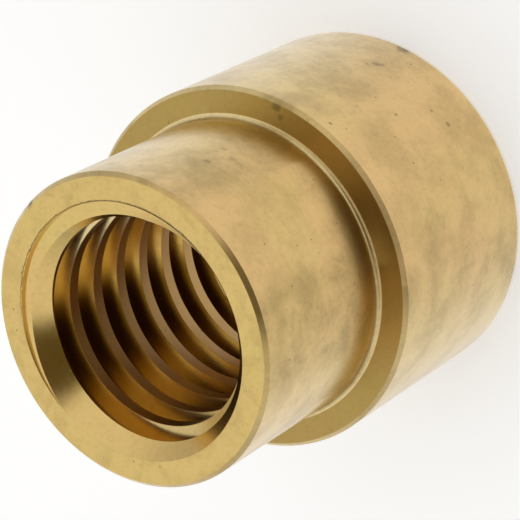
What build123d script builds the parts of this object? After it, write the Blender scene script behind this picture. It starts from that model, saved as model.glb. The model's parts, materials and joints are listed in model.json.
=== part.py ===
"""Lift safety nut: one turned brass piece with a trapezoidal thread right through it.

The nut stands on its large end. The origin is the centre of that end, and +Z runs along the
axis to the small end. All sizes are in millimetres and angles in degrees.
"""
from build123d import *
from build123d.topology import SkipClean
import os
from math import ceil, radians, tan

# ---- driving dimensions ---------------------------------------------------------------------
body_length = 35.8            # the large cylinder, from the large end to the shoulder
spigot_length = 30.2          # the small cylinder, from the shoulder to the small end
spigot_wall = 4.5             # metal left between the thread's root and the small cylinder
shoulder_width = 5.1          # the large cylinder stands this far out from the small one

edge_chamfer = 0.65           # on the three outer edges, at 45 degrees
shoulder_fillet = 0.8         # in the corner between the spigot and the shoulder

thread_diameter = 40.0        # nominal diameter of the screw, Tr 40 x 6, right hand
thread_pitch = 6.0            # distance between neighbouring turns, single start
flank_angle = 15.0            # each flank leans this far from a plane across the axis
bore_allowance = 0.2          # the bore is this much wider than the nominal minor diameter
root_clearance = 0.3          # the groove is this much deeper than half the pitch
crest_width = 2.0             # flat left between two turns of the groove, at the bore
groove_height = 5.28          # middle of one turn above the large end, on the +X side

mouth_margin = 0.1            # each countersink reaches this far past the thread's root
mouth_angle = 45.0            # lean of the countersinks from the axis

# ---- sizes that follow from them ------------------------------------------------------------
bore_radius = (thread_diameter - thread_pitch + bore_allowance) / 2
thread_depth = thread_pitch / 2 + root_clearance
root_radius = bore_radius + thread_depth
spigot_radius = root_radius + spigot_wall
body_radius = spigot_radius + shoulder_width
total_length = body_length + spigot_length
mouth_radius = root_radius + mouth_margin
mouth_depth = (mouth_radius - bore_radius) / tan(radians(mouth_angle))

# The cutter cuts one turn of the groove. It reaches a little into the open bore.
cutter_overlap = 1.0
flank_slope = tan(radians(flank_angle))
groove_width = thread_pitch - crest_width
cutter_inner_half = groove_width / 2 + cutter_overlap * flank_slope
cutter_root_half = groove_width / 2 - thread_depth * flank_slope

# Turns are cut from below the large end to above the small end, so the groove runs out of both.
turns_below = ceil(groove_height / thread_pitch) + 1
turns_above = ceil((total_length - groove_height) / thread_pitch) + 1

# The blank is turned in equal sectors, whose faces stay apart: no face runs a whole turn.
sector_count = 4
sector_angle = 360 / sector_count

# ---- one turn of the thread cutter ----------------------------------------------------------
with BuildPart() as thread_turn:
    with BuildLine() as turn_path:
        Helix(
            pitch=thread_pitch,
            height=thread_pitch,
            radius=bore_radius,
            center=(0, 0, groove_height),
        )
    with BuildSketch(Plane.XZ):
        with BuildLine():
            Polyline(
                (bore_radius - cutter_overlap, groove_height - cutter_inner_half),
                (root_radius, groove_height - cutter_root_half),
                (root_radius, groove_height + cutter_root_half),
                (bore_radius - cutter_overlap, groove_height + cutter_inner_half),
                close=True,
            )
        make_face()
    sweep(path=turn_path.line, is_frenet=True)

# ---- the nut --------------------------------------------------------------------------------
with SkipClean():
    with BuildPart() as lift_nut:
        for sector in range(sector_count):
            with BuildSketch(Plane.XZ.rotated((0, 0, sector * sector_angle))):
                with BuildLine():
                    Polyline(
                        (mouth_radius, 0),
                        (body_radius, 0),
                        (body_radius, body_length),
                        (spigot_radius, body_length),
                        (spigot_radius, total_length),
                        (mouth_radius, total_length),
                        (bore_radius, total_length - mouth_depth),
                        (bore_radius, mouth_depth),
                        close=True,
                    )
                section = make_face()
                *_, spigot_corners, body_corners = section.vertices().group_by(Axis.X)
                shoulder_corner, small_end_corner = spigot_corners.sort_by(Axis.Y)
                chamfer([*body_corners, small_end_corner], length=edge_chamfer)
                fillet(shoulder_corner, radius=shoulder_fillet)
            revolve(axis=Axis.Z, revolution_arc=sector_angle, clean=False)

        for turn in range(-turns_below, turns_above):
            with Locations((0, 0, turn * thread_pitch)):
                add(thread_turn.part, clean=False, mode=Mode.SUBTRACT)

lift_nut.part.label = "lift_nut"

os.makedirs("parts", exist_ok=True)
export_step(lift_nut.part, "parts/lift_nut.step")
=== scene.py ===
"""Looks of the lift safety nut: its turned brass, and the studio that it is shown in."""
import json
import math

import bmesh
import bpy
from bpy.props import FloatProperty, FloatVectorProperty, PointerProperty
from mathutils import Matrix, Vector


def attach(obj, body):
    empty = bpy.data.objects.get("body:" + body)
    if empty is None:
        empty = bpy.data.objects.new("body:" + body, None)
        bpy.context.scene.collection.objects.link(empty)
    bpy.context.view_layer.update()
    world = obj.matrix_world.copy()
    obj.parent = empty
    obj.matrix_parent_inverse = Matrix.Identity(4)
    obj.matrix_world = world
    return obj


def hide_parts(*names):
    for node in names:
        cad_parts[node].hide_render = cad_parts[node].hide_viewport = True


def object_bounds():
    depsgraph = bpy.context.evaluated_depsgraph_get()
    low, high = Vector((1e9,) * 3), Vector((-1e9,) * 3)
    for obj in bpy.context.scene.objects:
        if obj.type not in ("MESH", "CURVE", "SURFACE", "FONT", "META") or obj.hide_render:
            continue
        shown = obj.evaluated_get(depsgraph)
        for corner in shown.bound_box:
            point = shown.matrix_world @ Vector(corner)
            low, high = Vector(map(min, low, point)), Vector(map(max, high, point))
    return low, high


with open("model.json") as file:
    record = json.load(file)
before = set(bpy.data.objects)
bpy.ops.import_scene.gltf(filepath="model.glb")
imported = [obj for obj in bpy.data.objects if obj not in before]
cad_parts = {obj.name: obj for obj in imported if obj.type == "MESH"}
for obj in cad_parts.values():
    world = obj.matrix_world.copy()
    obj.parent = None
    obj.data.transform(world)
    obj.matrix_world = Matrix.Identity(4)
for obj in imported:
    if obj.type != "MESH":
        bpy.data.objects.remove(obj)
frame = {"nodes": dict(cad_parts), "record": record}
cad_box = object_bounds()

bl_info = {
    "name": "Lift Safety Nut",
    "version": (1, 0, 0),
    "blender": (4, 5, 0),
    "location": "View3D > Sidebar > Lift Nut",
    "description": "Finishes a turned brass safety nut and sets it in a plain studio",
    "category": "Object",
}

NODE = "lift_nut"
MM = 0.001

# The nut's own sizes in millimetres, from the frame and its mounts.
MOUNTS = {mount["name"]: mount for mount in frame["record"]["mounts"]}
HALF_LENGTH = cad_box[1][2] / MM / 2
BODY_RADIUS = MOUNTS["body_cylinder"]["dims"]["r_mm"]
SPIGOT_RADIUS = MOUNTS["spigot"]["dims"]["r_mm"]
BORE_RADIUS = MOUNTS["screw_thread"]["dims"]["r_mm"]
SHOULDER = MOUNTS["shoulder"]["pos_m"][2] / MM
MOUTH_RADIUS = 20.5  # of both countersinks

# Corners nearer than WELD millimetres become one, and edges that bend by more than SHARP stay sharp.
WELD = 0.002
SHARP = math.radians(26)


def on_cylinder(radius, degrees, height):
    """A place on a cylinder about the axis, its angle taken from +X about +Z."""
    return (radius * math.cos(math.radians(degrees)), radius * math.sin(math.radians(degrees)), height)


# Smudges: where each is, in millimetres, how far it reaches and how dark it is.
MARKS = (
    (on_cylinder(BODY_RADIUS, -52, 9.8), 1.3, 0.5),
    (on_cylinder(BODY_RADIUS, -50, 11.6), 0.4, 0.4),
    (on_cylinder(BODY_RADIUS, -75, 10.8), 0.4, 0.6),
    (on_cylinder(BODY_RADIUS, -81, 9.6), 0.55, 0.5),
    (on_cylinder(BODY_RADIUS, -71, 19.0), 0.35, 0.6),
    (on_cylinder(28.7, -48, SHOULDER), 1.3, 0.5),
    (on_cylinder(27.6, -50, SHOULDER), 0.8, 0.4),
    (on_cylinder(BODY_RADIUS, -64, 33.2), 0.45, 0.6),
    (on_cylinder(BODY_RADIUS, -68, 31.4), 0.4, 0.5),
    (on_cylinder(29.8, -51, 1.2), 1.6, 0.6),
    (on_cylinder(SPIGOT_RADIUS, -48, 53.0), 0.9, 0.4),
    (on_cylinder(SPIGOT_RADIUS, -52, 49.0), 1.1, 0.35),
    (on_cylinder(SPIGOT_RADIUS, -46, 47.5), 0.7, 0.4),
    (on_cylinder(24.8, 12, 65.6), 0.9, 0.6),
)


class Wire:
    """One output of a shader tree. Arithmetic on wires adds the tree's Math nodes."""

    def __init__(self, tree, socket=None):
        self.tree = tree
        self.socket = socket

    def node(self, kind, settings=None, inputs=None, output=0):
        """Adds any other node: its settings first, then the values or links of its sockets."""
        made = self.tree.nodes.new(kind)
        for name, value in (settings or {}).items():
            setattr(made, name, value)
        for key, value in (inputs or {}).items():
            if isinstance(value, Wire):
                self.tree.links.new(value.socket, made.inputs[key])
            else:
                made.inputs[key].default_value = value
        return Wire(self.tree, made.outputs[output])

    def sibling(self, output):
        """Another output of the node that this wire comes from."""
        return Wire(self.tree, self.socket.node.outputs[output])

    def math(self, operation, *operands):
        return self.node("ShaderNodeMath", {"operation": operation}, dict(enumerate(operands)))

    def vector(self, operation, *operands, output="Vector"):
        return self.node("ShaderNodeVectorMath", {"operation": operation}, dict(enumerate(operands)), output)

    def __add__(self, other):
        return self.math("ADD", self, other)

    __radd__ = __add__

    def __sub__(self, other):
        return self.math("SUBTRACT", self, other)

    def __rsub__(self, other):
        return self.math("SUBTRACT", other, self)

    def __mul__(self, other):
        return self.math("MULTIPLY", self, other)

    __rmul__ = __mul__

    def __truediv__(self, other):
        return self.math("DIVIDE", self, other)

    def __rtruediv__(self, other):
        return self.math("DIVIDE", other, self)


def soft_step(value, low, high):
    """0 where value is under low and 1 where it is over high, smooth between."""
    settings = {"interpolation_type": "SMOOTHSTEP"}
    return value.node("ShaderNodeMapRange", settings, {"Value": value, "From Min": low, "From Max": high})


def window(value, low, high, soft):
    """1 where value lies from low to high, and 0 outside, smooth over soft at each side."""
    return soft_step(value, low - soft, low) * (1 - soft_step(value, high, high + soft))


def mixed(factor, first, second):
    """The colour first where factor is 0, and second where it is 1."""
    return factor.node("ShaderNodeMix", {"data_type": "RGBA"}, {0: factor, 6: first, 7: second}, 2)


def noise(place, scale, detail=2.0, roughness=0.5, distortion=0.0):
    """Cloudy noise from 0 to 1, mostly near 0.5."""
    sockets = {"Vector": place, "Scale": scale, "Detail": detail}
    sockets.update({"Roughness": roughness, "Distortion": distortion})
    return place.node("ShaderNodeTexNoise", None, sockets)


class Turned:
    """Places on the nut, as its lathe sees them: height and radius in millimetres, and angle."""

    def __init__(self, tree):
        start = Wire(tree)
        metres = start.node("ShaderNodeTexCoord", output="Object")
        self.place = metres.vector("MULTIPLY", metres, (1000, 1000, 1000))
        self.x = self.place.node("ShaderNodeSeparateXYZ", None, {0: self.place})
        self.y = self.x.sibling("Y")
        self.height = self.x.sibling("Z")
        flat = self.place.vector("MULTIPLY", self.place, (1, 1, 0))
        self.radius = self.place.vector("LENGTH", flat, output="Value")
        # The turning marks run round the axis, so they change only along the tool's path.
        lay = {"X": self.x * 0.02, "Y": self.y * 0.02, "Z": self.radius + self.height}
        self.lay = self.place.node("ShaderNodeCombineXYZ", None, lay)

    def toward(self, degrees):
        """1 in the direction at that angle from +X about +Z, 0 at a right angle to it, -1 opposite."""
        across = self.x * math.cos(math.radians(degrees)) + self.y * math.sin(math.radians(degrees))
        return across / self.radius

    def spot(self, place, low, high, ragged=0.0):
        """1 within low millimetres of a place and 0 beyond high, with an edge made ragged by noise."""
        distance = self.place.vector("DISTANCE", self.place, place, output="Value")
        if ragged:
            distance = distance + (noise(self.place, 0.9, 3.0) - 0.5) * ragged
        return 1 - soft_step(distance, low, high)


def turned_brass(finish):
    """Brass from the lathe, lightly tarnished and oiled, with a smoother countersink and thread, and with
    painted highlights and painted shade in its colour.
    """
    material = bpy.data.materials.new("turned_brass")
    material.use_nodes = True
    tree = material.node_tree
    shader = tree.nodes["Principled BSDF"]
    shader.inputs["Metallic"].default_value = 1
    shader.inputs["Coat Roughness"].default_value = finish.oil_roughness
    shader.inputs["Coat IOR"].default_value = 1.47
    nut = Turned(tree)

    # Which surface: the two cylinders, the end faces, the shoulder, the countersinks, and the thread.
    middle = nut.height - HALF_LENGTH
    from_middle = middle.math("ABSOLUTE", middle)
    outside = soft_step(nut.radius, 22.0, 22.5)
    ends = soft_step(from_middle, HALF_LENGTH - 0.1, HALF_LENGTH - 0.05)
    cylinder = outside * (1 - ends) * (1 - window(nut.height, SHOULDER - 0.02, SHOULDER + 0.02, 0.05))
    shoulder = outside * window(nut.height, SHOULDER - 0.1, SHOULDER + 0.1, 0.3)
    cone = HALF_LENGTH - MOUTH_RADIUS
    mouths = (1 - ends) * (1 - outside) * soft_step(from_middle - nut.radius, cone - 0.15, cone - 0.05)
    thread = (1 - outside) * (1 - mouths) * (1 - ends)
    groove = thread * soft_step(nut.radius, BORE_RADIUS + 0.01, BORE_RADIUS + 0.1)
    crests = thread - groove
    above = soft_step(nut.height, SHOULDER - 0.05, SHOULDER + 0.05)
    # Painted shade in the corner: the spigot just above the shoulder, fading out over some 7 mm.
    shoulder_corner_shade = cylinder * window(nut.height, SHOULDER, SHOULDER + 0.7, 6.5) * above

    clouds = noise(nut.place, 0.05, 3.0, 0.5)
    drift = noise(nut.place, 0.12, 6.0, 0.62, 0.2)
    grain = noise(nut.place, 1.1, 4.0, 0.7)
    marks = noise(nut.lay, 3.0, 4.0, 0.75)
    scattered = {"Vector": nut.place, "Scale": 0.42, "Randomness": 1.0}
    pores = nut.place.node("ShaderNodeTexVoronoi", None, scattered)
    few = pores.sibling("Color").node("ShaderNodeSeparateColor", None, {0: pores.sibling("Color")})
    specks = (1 - soft_step(pores + (grain - 0.5) * 0.12, 0.045, 0.08)) * soft_step(few, 0.6, 0.62)

    # Clean metal in two tones, with paler places and painted highlights, hazy tarnish and bands of painted
    # shade, browner metal and painted shade, and dirty places laid over it in turn.
    # front is the side toward the camera. There the cylinders are painted pinker as painted shade, on top of
    # the metal's cloudy pinker patches.
    front = soft_step(nut.toward(-88), 0.6, 0.95)
    rosy_and_shade = soft_step(clouds, 0.42, 0.58) * (0.5 - ends * 0.25) + cylinder * (front * 0.4 + 0.15)
    colour = mixed(rosy_and_shade, (*finish.brass, 1), (*finish.rosy_and_shade, 1))
    # Painted highlights: the cylinders are made paler on their two sides toward +X and -X.
    pale_and_highlight = soft_step(nut.toward(0), 0.55, 0.98) * 0.75 + soft_step(nut.toward(180), 0.45, 0.95) * 0.5
    # The rounded corner at the shoulder, made paler as a painted highlight and kept out of the browner
    # shade.
    fillet_highlight = window(nut.radius, SPIGOT_RADIUS + 0.05, SPIGOT_RADIUS + 0.75, 0.05)
    fillet_highlight = fillet_highlight * window(nut.height, SHOULDER - 0.1, SHOULDER + 0.9, 0.2)
    rim = soft_step(nut.radius, BODY_RADIUS - 0.7, BODY_RADIUS - 0.55)
    rim = rim * window(nut.height, SHOULDER - 0.6, SHOULDER + 0.1, 0.15)
    # The two sides of the bore where the thread is lit. Deep in the bore the thread's root is painted paler
    # there as painted light, and browner elsewhere as painted shade.
    lit_upper = soft_step(nut.toward(30), 0.7, 0.9)
    lit_lower = soft_step(nut.toward(142), 0.7, 0.92)
    deep = groove * (1 - soft_step(from_middle, HALF_LENGTH - 4.2, HALF_LENGTH - 2.8))
    # Summed: painted highlights on the cylinders' sides and on the rounded corner at the shoulder, a
    # slightly paler chamfer at the shoulder's rim, and painted light on the lit side of the thread's root.
    pale_and_highlight = pale_and_highlight * cylinder + fillet_highlight * 0.8 + rim * 0.3 + deep * (lit_upper * 0.85 + lit_lower * 0.5)
    colour = mixed(pale_and_highlight.math("MINIMUM", pale_and_highlight, 1.0), colour, (*finish.pale_and_highlight, 1))
    stain = noise(nut.place, 0.3, 5.0, 0.65, 0.4)
    haze = (soft_step(drift, 0.38, 0.68) * 0.42 + 0.1) * cylinder
    haze = haze + soft_step(stain, 0.42, 0.68) * (ends * 0.24 + 0.06)
    haze = haze + soft_step(grain, 0.46, 0.7) * 0.2
    # Painted shade: darker olive bands down the cylinders on the side toward the camera, stronger on the
    # spigot and patchy with the drift noise.
    painted_shade_bands = soft_step(nut.toward(-118), 0.9, 0.995) * 0.32 + soft_step(nut.toward(-50), 0.96, 0.998) * 0.25
    painted_shade_bands = painted_shade_bands * (soft_step(nut.height, SHOULDER, SHOULDER + 1.2) * 0.6 + 0.7)
    painted_shade_bands = painted_shade_bands * cylinder * soft_step(drift, 0.2, 0.6)
    colour = mixed(haze + painted_shade_bands, colour, (*finish.olive, 1))
    # Browner shoulder, with painted shade: more brown toward the camera and in the corner above the
    # shoulder. Deep in the bore the thread's root is browner away from its lit sides, and its crests are
    # browner on those sides, as painted shade.
    brown_and_shade = shoulder * (0.55 + front * 0.12) + shoulder_corner_shade * (0.1 + front * 0.26)
    brown_and_shade = (brown_and_shade - fillet_highlight * 0.5) * (1 - rim) + deep * (0.66 - lit_upper * 0.66 - lit_lower * 0.4)
    colour = mixed(brown_and_shade + crests * (lit_upper * 0.5 + lit_lower * 0.25), colour, (*finish.umber, 1))
    colour = mixed(crests * 0.72, colour, (*finish.ruddy, 1))
    burr = soft_step(nut.toward(-10), 0.2, 0.6)
    burr = burr * window(nut.radius + (grain - 0.5) * 0.7, MOUTH_RADIUS, MOUTH_RADIUS + 0.1, 0.08)
    dirt = specks * 0.7 + burr * ends * 0.7
    for place, reach, strength in MARKS:
        dirt = dirt + nut.spot(place, reach * 0.2, reach, reach * 1.6) * strength
    colour = mixed(dirt, colour, (*finish.dirt, 1))
    tree.links.new(colour.socket, shader.inputs["Base Color"])

    rough = finish.roughness + (marks - 0.5) * 0.12 + (drift - 0.5) * 0.16
    rough = rough - mouths * 0.13 - groove * 0.16 + rim * 0.2 + dirt * 0.2
    tree.links.new(rough.socket, shader.inputs["Roughness"])
    oil = cylinder * finish.oil
    tree.links.new(oil.socket, shader.inputs["Coat Weight"])

    relief = marks * 0.5 + grain * 0.6 - specks * 0.8
    bump = nut.place.node("ShaderNodeBump", None, {"Strength": 0.15, "Distance": 0.00003, "Height": relief})
    tree.links.new(bump.socket, shader.inputs["Normal"])
    return material


def turned_mesh(source):
    """The nut's own mesh: the model's solid, welded, with every true edge kept sharp."""
    mesh = source.data.copy()
    mesh.name = "nut"
    if "custom_normal" in mesh.attributes:
        mesh.attributes.remove(mesh.attributes["custom_normal"])
    work = bmesh.new()
    work.from_mesh(mesh)
    bmesh.ops.remove_doubles(work, verts=work.verts, dist=WELD * MM)
    for face in work.faces:
        face.smooth = True
    for edge in work.edges:
        edge.smooth = edge.calc_face_angle(0) < SHARP
    work.to_mesh(mesh)
    work.free()
    return mesh


class NutFinish(bpy.types.PropertyGroup):
    """Colours and textures of the nut's metal, with the colours of its painted highlights and painted shade.
    """

    brass: FloatVectorProperty(
        name="Brass", description="Colour of the clean metal",
        subtype="COLOR", size=3, min=0, max=1, default=(0.74, 0.547, 0.19),
    )
    # Also the colour of the painted shade on the cylinders' side toward the camera.
    rosy_and_shade: FloatVectorProperty(
        name="Rosy Brass", description="Colour of the cloudy patches where the metal looks pinker",
        subtype="COLOR", size=3, min=0, max=1, default=(0.77, 0.505, 0.2),
    )
    # Also the colour of the painted highlights on the cylinders' sides, on the rounded corner at the
    # shoulder and on the lit side of the thread.
    pale_and_highlight: FloatVectorProperty(
        name="Pale Brass", description="Colour of the paler metal on the nut's two sides",
        subtype="COLOR", size=3, min=0, max=1, default=(0.86, 0.69, 0.36),
    )
    # Also the colour of the bands of painted shade on the cylinders' side toward the camera.
    olive: FloatVectorProperty(
        name="Tarnish", description="Colour of the light olive tarnish",
        subtype="COLOR", size=3, min=0, max=1, default=(0.44, 0.3, 0.1),
    )
    # Also the colour of painted shade above the shoulder, on the side toward the camera and in the bore.
    umber: FloatVectorProperty(
        name="Umber", description="Colour of the browner metal in the thread and on the shoulder",
        subtype="COLOR", size=3, min=0, max=1, default=(0.25, 0.145, 0.025),
    )
    ruddy: FloatVectorProperty(
        name="Ruddy", description="Colour of the rubbed crests of the thread",
        subtype="COLOR", size=3, min=0, max=1, default=(0.37, 0.2, 0.085),
    )
    dirt: FloatVectorProperty(
        name="Dirt", description="Colour of smudges, pores and burrs",
        subtype="COLOR", size=3, min=0, max=1, default=(0.11, 0.085, 0.045),
    )
    oil: FloatProperty(
        name="Oil", description="Weight of the thin film of oil on the cylinders", subtype="FACTOR",
        min=0, max=1, default=0.42,
    )
    oil_roughness: FloatProperty(
        name="Oil Roughness", description="Roughness of the film of oil", subtype="FACTOR",
        min=0, max=1, default=0.22,
    )
    roughness: FloatProperty(
        name="Roughness", description="Roughness of the turned cylinders", subtype="FACTOR",
        min=0, max=1, default=0.32,
    )


class StudioSettings(bpy.types.PropertyGroup):
    """Where the camera stands and how bright the studio is."""

    camera_elevation: FloatProperty(
        name="Camera Elevation", description="Height of the view above the horizon",
        subtype="ANGLE", default=math.radians(50.385),
    )
    camera_roll: FloatProperty(
        name="Camera Roll", description="Turn of the camera about its own line of sight",
        subtype="ANGLE", default=math.radians(-118.775),
    )
    camera_distance: FloatProperty(
        name="Camera Distance", description="From the camera to the point it looks at",
        subtype="DISTANCE", unit="LENGTH", default=387 * MM,
    )
    lens: FloatProperty(
        name="Focal Length", description="Focal length on a 36 mm wide sensor", default=169.14,
    )
    surroundings: FloatProperty(
        name="Surroundings", description="Brightness of the white tent around the nut",
        min=0, default=0.9,
    )
    opening: FloatVectorProperty(
        name="Opening", description="Colour of the dim room behind the tent's opening, on the camera's side",
        subtype="COLOR", size=3, min=0, max=1, default=(0.11, 0.085, 0.035),
    )
    opening_azimuth: FloatProperty(
        name="Opening Azimuth", description="Side of the tent's opening, from straight in front",
        subtype="ANGLE", default=math.radians(-12),
    )
    opening_elevation: FloatProperty(
        name="Opening Elevation", description="Height of the opening's middle above the horizon",
        subtype="ANGLE", default=math.radians(44),
    )
    opening_inner: FloatProperty(
        name="Opening Inner", description="Half the width of the opening's dark middle",
        subtype="ANGLE", default=math.radians(16),
    )
    opening_outer: FloatProperty(
        name="Opening Outer", description="Half the width at which the opening's soft edge ends",
        subtype="ANGLE", default=math.radians(34),
    )
    floor_white: FloatProperty(
        name="Floor White", description="Whiteness of the floor",
        subtype="FACTOR", min=0, max=1, default=0.85,
    )
    flag_level: FloatProperty(
        name="Flag Level", description="How much the distant surroundings near the horizon are dimmed",
        subtype="FACTOR", min=0, max=1, default=0.33,
    )
    flag_contrast: FloatProperty(
        name="Flag Contrast", description="How much more they are dimmed left and right than front and back",
        subtype="FACTOR", min=0, max=1, default=0.25,
    )
    floor_glow: FloatProperty(
        name="Floor Glow", description="Share of plain white in the floor's reflection, to hide its shadow",
        subtype="FACTOR", min=0, max=1, default=0.7,
    )
    floor_lift: FloatProperty(
        name="Floor Lift", description="Glow that brings the floor up to the white of the background",
        min=0, default=0.35,
    )


def make_camera(studio):
    """A camera that looks down on the nut from the front, turned about its line of sight."""
    camera = bpy.data.objects.new("camera", bpy.data.cameras.new("camera"))
    bpy.context.collection.objects.link(camera)
    aim = Vector((0.09, -1.70, 33.0)) * MM
    tilt = Matrix.Rotation(math.pi / 2 - studio.camera_elevation, 4, "X")
    back = tilt @ Vector((0, 0, 1))
    roll = Matrix.Rotation(studio.camera_roll, 4, "Z")
    camera.matrix_world = Matrix.Translation(aim + back * studio.camera_distance) @ tilt @ roll
    camera.data.lens = studio.lens
    camera.data.clip_start = 0.01
    bpy.context.scene.camera = camera


def flags(place, studio):
    """How much the distant white is dimmed: most on the left and right, least in front and behind."""
    x = place.node("ShaderNodeSeparateXYZ", None, {0: place})
    y = x.sibling("Y")
    sideways = (x * x - y * y) / (x * x + y * y + 1e-9)
    return sideways * studio.flag_contrast + studio.flag_level


def white_floor(studio):
    """White as a background in view and in reflections, and still darker in the nut's shadow."""
    material = bpy.data.materials.new("white_floor")
    material.use_nodes = True
    tree = material.node_tree
    shader = tree.nodes["Principled BSDF"]
    shader.inputs["Base Color"].default_value = (studio.floor_white,) * 3 + (1,)
    shader.inputs["Roughness"].default_value = 1
    shader.inputs["Specular IOR Level"].default_value = 0
    shader.inputs["Emission Strength"].default_value = 1
    seen = Wire(tree).node("ShaderNodeLightPath", output="Is Camera Ray")
    reflected = seen.sibling("Is Glossy Ray")
    lift = mixed(seen.math("MAXIMUM", seen, reflected), (0, 0, 0, 1), (studio.floor_lift,) * 3 + (1,))
    tree.links.new(lift.socket, shader.inputs["Emission Color"])
    place = seen.node("ShaderNodeTexCoord", output="Object")
    reach = place.vector("LENGTH", place, output="Value")
    near, far = 0.1, 0.5  # metres from the nut, where the dimming begins and is full
    white = 1 - soft_step(reach, near, far) * flags(place, studio)
    glow = seen.node("ShaderNodeEmission", None, {"Color": white, "Strength": 1.0})
    surface = Wire(tree, shader.outputs[0])
    # Under the nut the reflected floor is plain white, and round it only a share of it is.
    round_nut = soft_step(reach, (BODY_RADIUS - 1) * MM, (BODY_RADIUS + 2) * MM)
    share = reflected * (1 - round_nut * (1 - studio.floor_glow))
    either = seen.node("ShaderNodeMixShader", None, {0: share, 1: surface, 2: glow})
    tree.links.new(either.socket, tree.nodes["Material Output"].inputs["Surface"])
    return material


def make_floor(studio):
    """A pale floor under the large end."""
    mesh = bpy.data.meshes.new("floor")
    reach = 3.0
    corners = [(-reach, -reach, 0), (reach, -reach, 0), (reach, reach, 0), (-reach, reach, 0)]
    mesh.from_pydata(corners, [], [(0, 1, 2, 3)])
    floor = bpy.data.objects.new("floor", mesh)
    bpy.context.collection.objects.link(floor)
    mesh.materials.append(white_floor(studio))


def make_tent(studio):
    """A white tent all round, with a dark opening where the camera looks in."""
    world = bpy.data.worlds.new("tent")
    bpy.context.scene.world = world
    world.use_nodes = True
    tree = world.node_tree
    direction = Wire(tree).node("ShaderNodeTexCoord", output="Generated")
    azimuth, elevation = studio.opening_azimuth, studio.opening_elevation
    opening = (
        math.sin(azimuth) * math.cos(elevation),
        -math.cos(azimuth) * math.cos(elevation),
        math.sin(elevation),
    )
    near = direction.vector("DOT_PRODUCT", direction, opening, output="Value")
    dark = soft_step(near, math.cos(studio.opening_outer), math.cos(studio.opening_inner))
    height = direction.node("ShaderNodeSeparateXYZ", None, {0: direction}, "Z")
    white = (1 - (1 - soft_step(height, 0.0, 0.55)) * flags(direction, studio)) * studio.surroundings
    cloth = mixed(dark, white, (*studio.opening, 1))
    seen = direction.node("ShaderNodeLightPath", output="Is Camera Ray")
    cloth = mixed(seen, cloth, (1, 1, 1, 1))
    tree.links.new(cloth.socket, tree.nodes["Background"].inputs["Color"])


class NUT_OT_finish(bpy.types.Operator):
    """Gives the nut its turned brass"""

    bl_idname = "nut.finish"
    bl_label = "Finish Nut"

    def execute(self, context):
        source = frame["nodes"][NODE]
        nut = bpy.data.objects.new("turned_nut", turned_mesh(source))
        context.collection.objects.link(nut)
        nut.matrix_world = source.matrix_world
        nut.data.materials.clear()
        nut.data.materials.append(turned_brass(context.scene.nut_finish))
        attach(nut, "root")
        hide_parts(NODE)
        return {"FINISHED"}


class NUT_OT_studio(bpy.types.Operator):
    """Builds the floor, the light and the camera"""

    bl_idname = "nut.studio"
    bl_label = "Build Studio"

    def execute(self, context):
        studio = context.scene.nut_studio
        make_camera(studio)
        make_floor(studio)
        make_tent(studio)
        context.scene.view_settings.view_transform = "Standard"
        return {"FINISHED"}


class NUT_PT_panel(bpy.types.Panel):
    """Lists the nut's settings and steps"""

    bl_label = "Lift Safety Nut"
    bl_idname = "NUT_PT_panel"
    bl_space_type = "VIEW_3D"
    bl_region_type = "UI"
    bl_category = "Lift Nut"

    def draw(self, context):
        steps = ((NUT_OT_finish, context.scene.nut_finish), (NUT_OT_studio, context.scene.nut_studio))
        for operator, group in steps:
            box = self.layout.box()
            for name in group.bl_rna.properties.keys():
                if name not in ("name", "rna_type"):
                    box.prop(group, name)
            box.operator(operator.bl_idname)


CLASSES = (NutFinish, StudioSettings, NUT_OT_finish, NUT_OT_studio, NUT_PT_panel)


def register():
    for cls in CLASSES:
        bpy.utils.register_class(cls)
    bpy.types.Scene.nut_finish = PointerProperty(type=NutFinish)
    bpy.types.Scene.nut_studio = PointerProperty(type=StudioSettings)


def unregister():
    del bpy.types.Scene.nut_studio
    del bpy.types.Scene.nut_finish
    for cls in reversed(CLASSES):
        bpy.utils.unregister_class(cls)


def main():
    register()
    bpy.ops.nut.finish()
    bpy.ops.nut.studio()


if __name__ == "__main__":
    main()
